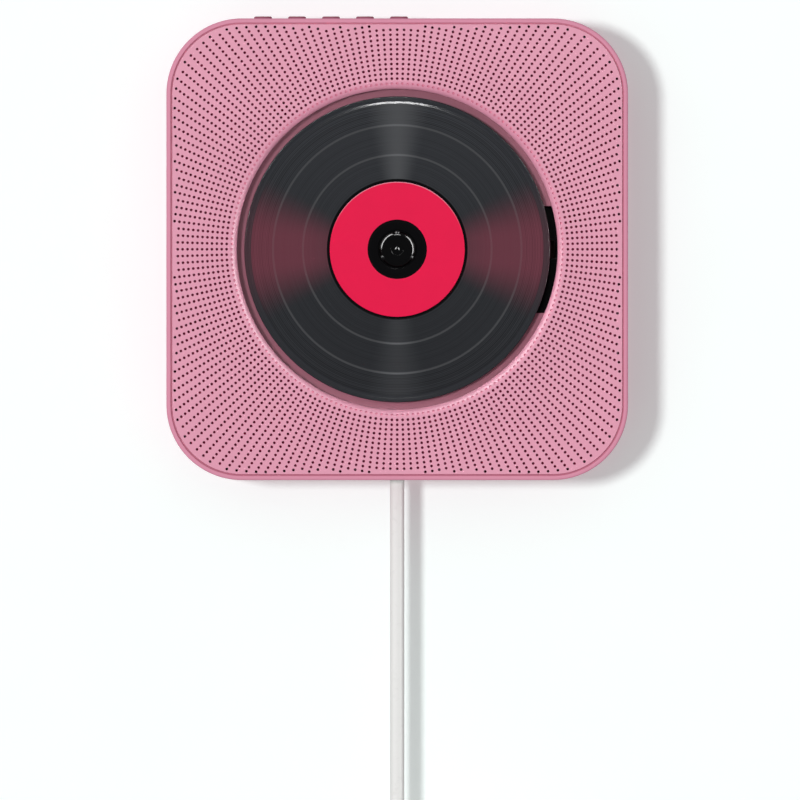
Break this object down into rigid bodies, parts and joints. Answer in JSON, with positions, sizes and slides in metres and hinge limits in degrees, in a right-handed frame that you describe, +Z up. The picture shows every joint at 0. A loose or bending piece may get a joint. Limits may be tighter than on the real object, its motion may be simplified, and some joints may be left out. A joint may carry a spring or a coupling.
{
  "type": "wall mounted disc player",
  "caption": "Square wall mounted disc player with a perforated front round an open disc well, push buttons on top and a lead that is also its pull switch.",
  "frame": {"origin": "on the wall plane, at the middle of the bracket's four screw holes, behind the middle of the square body", "axes": "+X to the viewer's right, +Y into the wall, +Z up; the front faces -Y"},
  "size_m": [0.181, 0.0463, 0.4305],
  "materials": {
    "shell": "smooth satin pink moulding",
    "button": "satin, darker pink",
    "deck_black": "fine matt texture",
    "deck_grey": "fine matt texture",
    "sled_grey": "satin",
    "hub": "satin",
    "gear": "natural acetal",
    "white_plastic": "satin white",
    "lead": "smooth matt white sheath",
    "bracket": "zinc grey",
    "steel": "plated",
    "chrome": "polished",
    "rubber": "matt",
    "cloth": "fine dark dust cloth",
    "disc": "fine concentric grooves, glossy",
    "label": "plain red",
    "lens": "coated lens",
    "board": "green solder mask",
    "chip": "black package",
    "capacitor": "dark blue sleeve",
    "winding": "yellow tape over the winding",
    "cone": "black pulp with rubber surround",
    "basket": "black"
  },
  "bodies": {
    "bracket": {"wall_bracket": "bracket"},
    "player": {"rear_cover": "shell", "wall_pads": "rubber", "case_frame": "shell", "case_screws": "steel", "front_grille": "shell", "dust_cloth": "cloth", "disc_well": "shell", "pan_screws": "steel", "deck_cover": "deck_black", "deck_frame": "deck_grey", "deck_dampers": "rubber", "deck_screws": "steel", "guide_rods": "chrome", "spindle_motor": "steel", "feed_motor": "steel", "main_board": "board", "board_chips": "chip", "board_capacitors": "capacitor", "board_screws": "steel", "button_board": "board", "button_switches": "chip", "speaker_frames": "basket", "speaker_magnets": "steel", "power_board": "board", "transformer": "winding", "line_jack": "chip", "pull_guide": "white_plastic", "pull_spring": "steel", "pull_contact": "chip", "lead_bushing": "white_plastic"},
    "spindle": {"spindle_shaft": "chrome", "spindle_hub": "hub", "hub_balls": "chrome"},
    "disc": {"disc": "disc", "disc_label": "label"},
    "sled": {"pickup_sled": "sled_grey"},
    "focus": {"lens_holder": "deck_black", "lens": "lens"},
    "feed_wheel": {"feed_gear": "gear"},
    "motor_pinion": {"feed_pinion": "gear"},
    "button_1": {"button_1": "button"},
    "button_2": {"button_2": "button"},
    "button_3": {"button_3": "button"},
    "button_4": {"button_4": "button"},
    "button_5": {"button_5": "button"},
    "cone_left": {"speaker_cone_left": "cone"},
    "cone_right": {"speaker_cone_right": "cone"},
    "pull": {"pull_slider": "white_plastic", "strain_relief": "lead", "lead": "lead", "lead_coil": "lead", "lead_tie": "white_plastic", "plug": "white_plastic", "plug_pins": "chrome"}
  },
  "joints": [
    {"name": "player_lift", "type": "slide", "parent": "bracket", "child": "player", "axis": [0, 0, 1], "range_m": [0, 0.007]},
    {"name": "spindle_spin", "type": "hinge", "parent": "player", "child": "spindle", "pos_m": [0, -0.03, 0], "axis": [0, -1, 0], "continuous": true},
    {"name": "disc_lift", "type": "slide", "parent": "spindle", "child": "disc", "axis": [0, -1, 0], "range_m": [0, 0.012]},
    {"name": "sled_slide", "type": "slide", "parent": "player", "child": "sled", "axis": [1, 0, 0], "range_m": [0, 0.035]},
    {"name": "lens_focus", "type": "slide", "parent": "sled", "child": "focus", "axis": [0, -1, 0], "range_m": [-0.0004, 0.0004], "stiffness_N_per_m": 20},
    {"name": "feed_wheel_turn", "type": "hinge", "parent": "player", "child": "feed_wheel", "pos_m": [0.026, -0.018, -0.02992], "axis": [0, -1, 0], "range_deg": [-502, 0]},
    {"name": "motor_pinion_turn", "type": "hinge", "parent": "player", "child": "motor_pinion", "pos_m": [0.03093, -0.014, -0.04345], "axis": [0, -1, 0], "range_deg": [0, 1304]},
    {"name": "button_1_press", "type": "slide", "parent": "player", "child": "button_1", "axis": [0, 0, -1], "range_m": [0, 0.0006], "stiffness_N_per_m": 800},
    {"name": "button_2_press", "type": "slide", "parent": "player", "child": "button_2", "axis": [0, 0, -1], "range_m": [0, 0.0006], "stiffness_N_per_m": 800},
    {"name": "button_3_press", "type": "slide", "parent": "player", "child": "button_3", "axis": [0, 0, -1], "range_m": [0, 0.0006], "stiffness_N_per_m": 800},
    {"name": "button_4_press", "type": "slide", "parent": "player", "child": "button_4", "axis": [0, 0, -1], "range_m": [0, 0.0006], "stiffness_N_per_m": 800},
    {"name": "button_5_press", "type": "slide", "parent": "player", "child": "button_5", "axis": [0, 0, -1], "range_m": [0, 0.0006], "stiffness_N_per_m": 800},
    {"name": "cone_left_move", "type": "slide", "parent": "player", "child": "cone_left", "axis": [0, -1, 0], "range_m": [-0.0008, 0.0008], "stiffness_N_per_m": 1000},
    {"name": "cone_right_move", "type": "slide", "parent": "player", "child": "cone_right", "axis": [0, -1, 0], "range_m": [-0.0008, 0.0008], "stiffness_N_per_m": 1000},
    {"name": "pull_switch", "type": "slide", "parent": "player", "child": "pull", "axis": [0, 0, -1], "range_m": [0, 0.006], "stiffness_N_per_m": 500, "springref_m": -0.006, "deforming": ["pull_spring"]}
  ],
  "couplings": [
    {"joint": "feed_wheel_turn", "follows": "sled_slide", "rad_per_m": -250},
    {"joint": "motor_pinion_turn", "follows": "sled_slide", "rad_per_m": 650}
  ]
}
